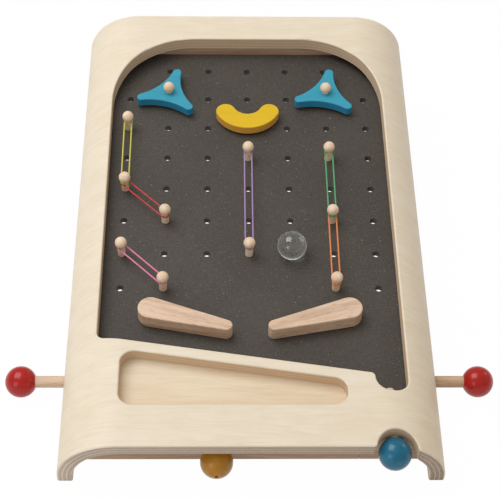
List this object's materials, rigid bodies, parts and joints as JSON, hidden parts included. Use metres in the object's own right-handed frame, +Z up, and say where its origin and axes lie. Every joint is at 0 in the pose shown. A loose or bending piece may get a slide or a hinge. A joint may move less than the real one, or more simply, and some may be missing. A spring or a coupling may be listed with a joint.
{
  "type": "tabletop pinball board",
  "caption": "Bent plywood tabletop pinball board with a sunken peg field, push-rod flippers, spring plunger, small drawer, turned pegs with rubber bands, bumpers and a marble.",
  "frame": {"origin": "centre of the bounding box at its bottom, on the table the case stands on", "axes": "+X to the player's right, +Y away from the player up the slope, +Z up"},
  "size_m": [0.3986, 0.4864, 0.1108],
  "materials": {
    "birch_ply": "clear matt lacquer on birch plywood, plies showing on the cut edges",
    "dark_board": "dark brown stained hardboard, matt",
    "brown_wood": "red-brown stained wood, satin",
    "beech": "bare turned beech",
    "flipper_wood": "light brown wood with visible grain",
    "red_lacquer": "red lacquered wood ball, satin",
    "blue_lacquer": "blue lacquered wood ball, satin",
    "yellow_lacquer": "yellow lacquered wood ball, satin",
    "star_blue": "light blue painted wood",
    "bumper_yellow": "yellow painted wood",
    "steel": "bright steel",
    "band_yellow": "rubber band",
    "band_red": "rubber band",
    "band_pink": "rubber band",
    "band_purple": "rubber band",
    "band_green": "rubber band",
    "band_orange": "rubber band",
    "marble_glass": "clear glass"
  },
  "bodies": {
    "cabinet": {"shell": "birch_ply", "playfield": "dark_board", "board_screws": "steel", "tray_panel": "birch_ply", "slope_rail": "birch_ply", "back_rail": "brown_wood", "side_battens": "birch_ply", "plunger_block": "brown_wood", "plunger_guides": "birch_ply", "spring_anchor": "beech", "left_rod_guide": "beech", "right_rod_guide": "beech", "left_pivot_block": "beech", "right_pivot_block": "beech", "drawer_divider": "birch_ply", "drawer_runner": "birch_ply"},
    "left_push": {"left_push_rod": "beech", "left_knob": "red_lacquer", "left_collar": "beech", "left_yoke": "beech", "left_drive_pin": "steel", "left_rod_spring": "steel"},
    "right_push": {"right_push_rod": "beech", "right_knob": "red_lacquer", "right_collar": "beech", "right_yoke": "beech", "right_drive_pin": "steel", "right_rod_spring": "steel"},
    "left_flip": {"left_flipper": "flipper_wood", "left_shaft": "beech", "left_crank": "beech"},
    "right_flip": {"right_flipper": "flipper_wood", "right_shaft": "beech", "right_crank": "beech"},
    "plunger": {"plunger_rod": "beech", "plunger_knob": "blue_lacquer", "plunger_pin": "steel", "plunger_spring": "steel"},
    "drawer": {"drawer_front": "brown_wood", "drawer_box": "birch_ply", "drawer_knob": "yellow_lacquer", "drawer_screw": "steel"},
    "left_star_post": {"left_star_peg": "beech"},
    "left_star_bumper": {"left_star": "star_blue"},
    "right_star_post": {"right_star_peg": "beech"},
    "right_star_bumper": {"right_star": "star_blue"},
    "bumper_post": {"bumper_peg": "beech"},
    "crescent_bumper": {"bumper": "bumper_yellow"},
    "upper_left_group": {"upper_left_pegs": "beech", "yellow_band": "band_yellow", "red_band": "band_red"},
    "lower_left_group": {"lower_left_pegs": "beech", "pink_band": "band_pink"},
    "middle_group": {"middle_pegs": "beech", "purple_band": "band_purple"},
    "right_group": {"right_pegs": "beech", "green_band": "band_green", "orange_band": "band_orange"},
    "loose_marble": {"marble": "marble_glass"}
  },
  "joints": [
    {"name": "left_push_slide", "type": "slide", "parent": "cabinet", "child": "left_push", "axis": [1, 0, 0], "range_m": [0, 0.02], "stiffness_N_per_m": 150, "springref_m": -0.02, "deforming": ["left_rod_spring"]},
    {"name": "right_push_slide", "type": "slide", "parent": "cabinet", "child": "right_push", "axis": [-1, 0, 0], "range_m": [0, 0.02], "stiffness_N_per_m": 150, "springref_m": -0.02, "deforming": ["right_rod_spring"]},
    {"name": "left_flipper_hinge", "type": "hinge", "parent": "cabinet", "child": "left_flip", "pos_m": [-0.0813, -0.10082, 0.0496], "axis": [0, -0.1219, 0.9925], "range_deg": [0, 34.22]},
    {"name": "right_flipper_hinge", "type": "hinge", "parent": "cabinet", "child": "right_flip", "pos_m": [0.0813, -0.10082, 0.0496], "axis": [0, -0.1219, 0.9925], "range_deg": [-34.22, 0]},
    {"name": "plunger_slide", "type": "slide", "parent": "cabinet", "child": "plunger", "axis": [0, -0.9925, -0.1219], "range_m": [0, 0.018], "stiffness_N_per_m": 120, "springref_m": -0.01, "deforming": ["plunger_spring"]},
    {"name": "drawer_slide", "type": "slide", "parent": "cabinet", "child": "drawer", "axis": [0, -0.9925, -0.1219], "range_m": [0, 0.04]},
    {"name": "left_star_lift", "type": "slide", "parent": "cabinet", "child": "left_star_post", "axis": [0, -0.1219, 0.9925], "range_m": [0, 0.03]},
    {"name": "left_star_spin", "type": "hinge", "parent": "left_star_post", "child": "left_star_bumper", "pos_m": [-0.072, 0.1415, 0.0864], "axis": [0, -0.1219, 0.9925], "continuous": true},
    {"name": "right_star_lift", "type": "slide", "parent": "cabinet", "child": "right_star_post", "axis": [0, -0.1219, 0.9925], "range_m": [0, 0.03]},
    {"name": "right_star_spin", "type": "hinge", "parent": "right_star_post", "child": "right_star_bumper", "pos_m": [0.072, 0.1415, 0.0864], "axis": [0, -0.1219, 0.9925], "continuous": true},
    {"name": "bumper_lift_out", "type": "slide", "parent": "cabinet", "child": "bumper_post", "axis": [0, -0.1219, 0.9925], "range_m": [0, 0.03]},
    {"name": "bumper_turn", "type": "hinge", "parent": "bumper_post", "child": "crescent_bumper", "pos_m": [0, 0.10577, 0.08202], "axis": [0, -0.1219, 0.9925], "range_deg": [-90, 90]},
    {"name": "upper_left_group_lift", "type": "slide", "parent": "cabinet", "child": "upper_left_group", "axis": [0, -0.1219, 0.9925], "range_m": [0, 0.03]},
    {"name": "lower_left_group_lift", "type": "slide", "parent": "cabinet", "child": "lower_left_group", "axis": [0, -0.1219, 0.9925], "range_m": [0, 0.03]},
    {"name": "middle_group_lift", "type": "slide", "parent": "cabinet", "child": "middle_group", "axis": [0, -0.1219, 0.9925], "range_m": [0, 0.03]},
    {"name": "right_group_lift", "type": "slide", "parent": "cabinet", "child": "right_group", "axis": [0, -0.1219, 0.9925], "range_m": [0, 0.03]},
    {"name": "marble_lift", "type": "slide", "parent": "cabinet", "child": "loose_marble", "axis": [0, -0.1219, 0.9925], "range_m": [0, 0.03]}
  ],
  "couplings": [
    {"joint": "left_flipper_hinge", "follows": "left_push_slide", "rad_per_m": 29.85},
    {"joint": "right_flipper_hinge", "follows": "right_push_slide", "rad_per_m": -29.85}
  ]
}
